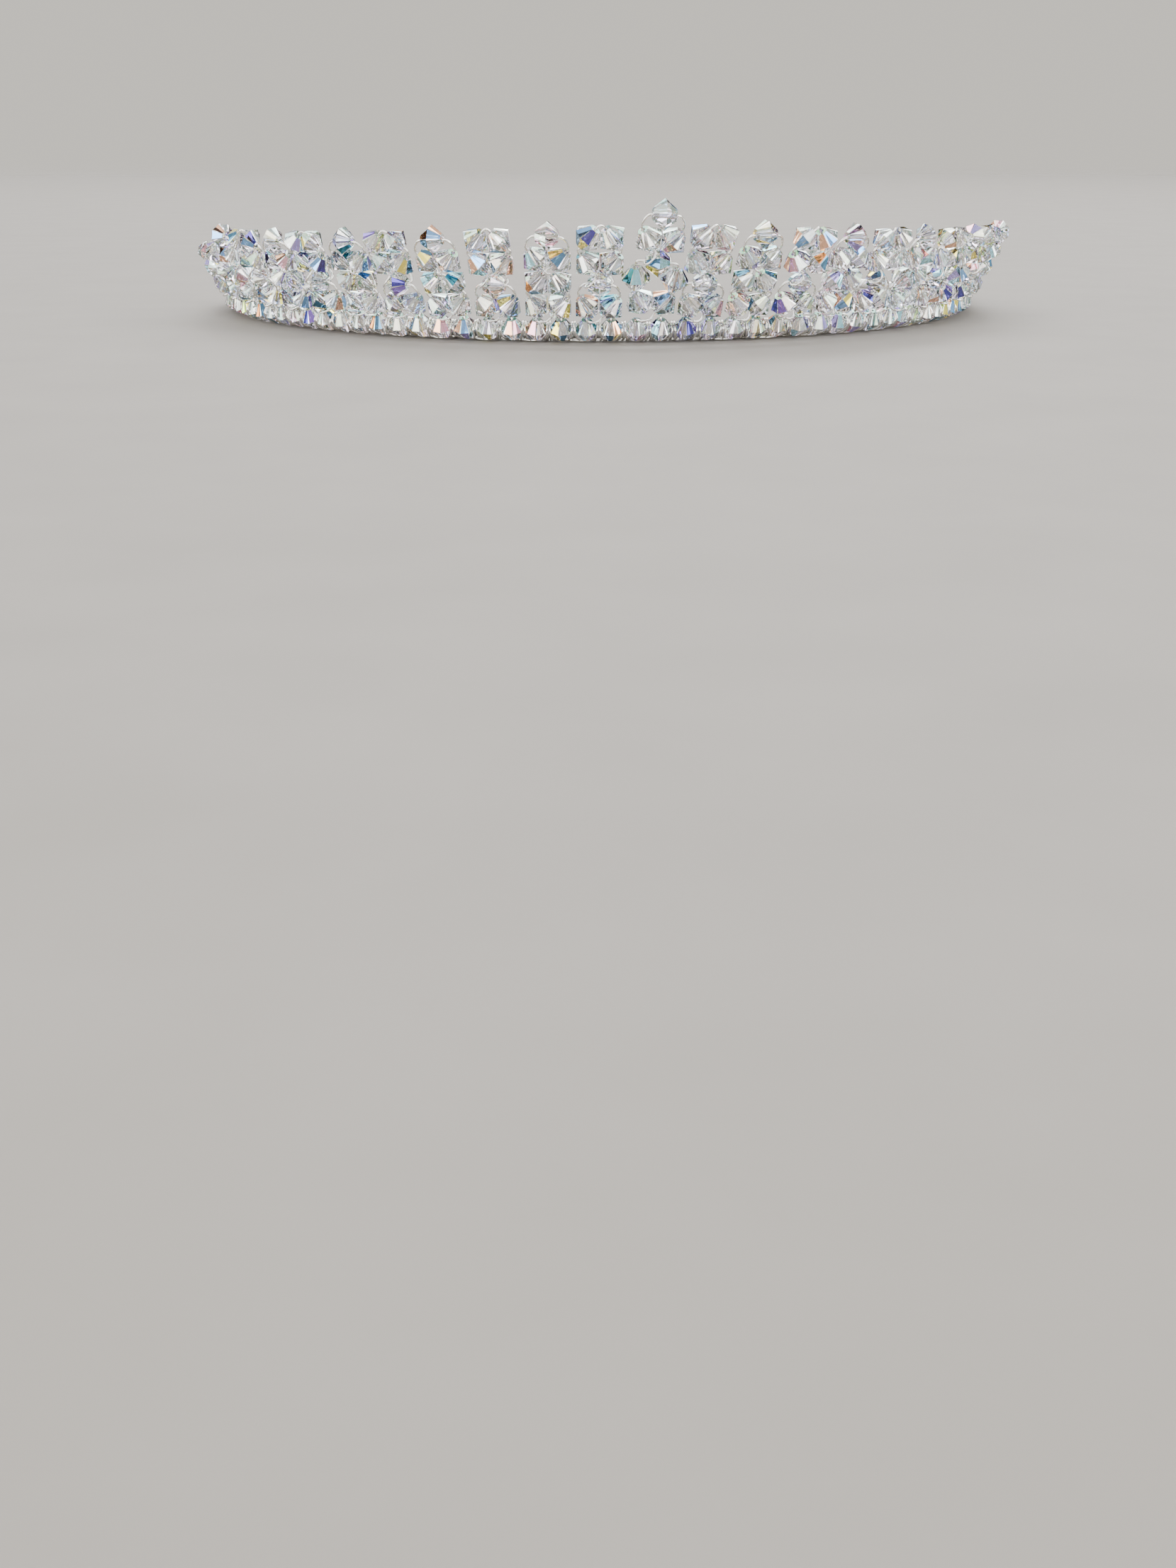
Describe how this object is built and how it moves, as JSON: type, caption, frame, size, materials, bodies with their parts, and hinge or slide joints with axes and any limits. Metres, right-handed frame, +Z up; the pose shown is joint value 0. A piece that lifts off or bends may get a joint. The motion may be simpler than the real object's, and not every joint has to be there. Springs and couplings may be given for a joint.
{
  "type": "crystal tiara",
  "caption": "Open tiara of drilled bicone crystals in flared sprays, threaded on fine silver wire and bound along a slim band.",
  "frame": {"origin": "under the middle of the tiara's box, on the plane that the band's lower edge stands on", "axes": "+X to the left of the wearer, which is the right of someone who faces the tiara; -Y to the front; +Z up"},
  "size_m": [0.1564, 0.1188, 0.0229],
  "materials": {
    "band": "silver plated, satin",
    "wire": "bright silver plated wire",
    "crystal": "clear cut glass with a thin iridescent coating"
  },
  "bodies": {
    "root": {"band": "band", "binding": "wire", "spray_centre": "crystal", "spray_left_01": "crystal", "spray_left_02": "crystal", "spray_left_03": "crystal", "spray_left_04": "crystal", "spray_left_05": "crystal", "spray_left_06": "crystal", "spray_left_07": "crystal", "spray_left_08": "crystal", "spray_left_09": "crystal", "spray_left_10": "crystal", "spray_left_11": "crystal", "spray_left_12": "crystal", "spray_right_01": "crystal", "spray_right_02": "crystal", "spray_right_03": "crystal", "spray_right_04": "crystal", "spray_right_05": "crystal", "spray_right_06": "crystal", "spray_right_07": "crystal", "spray_right_08": "crystal", "spray_right_09": "crystal", "spray_right_10": "crystal", "spray_right_11": "crystal", "spray_right_12": "crystal", "end_sprays_left": "crystal", "end_sprays_right": "crystal", "wire_left": "wire", "wire_centre": "wire", "wire_right": "wire"}
  },
  "joints": []
}
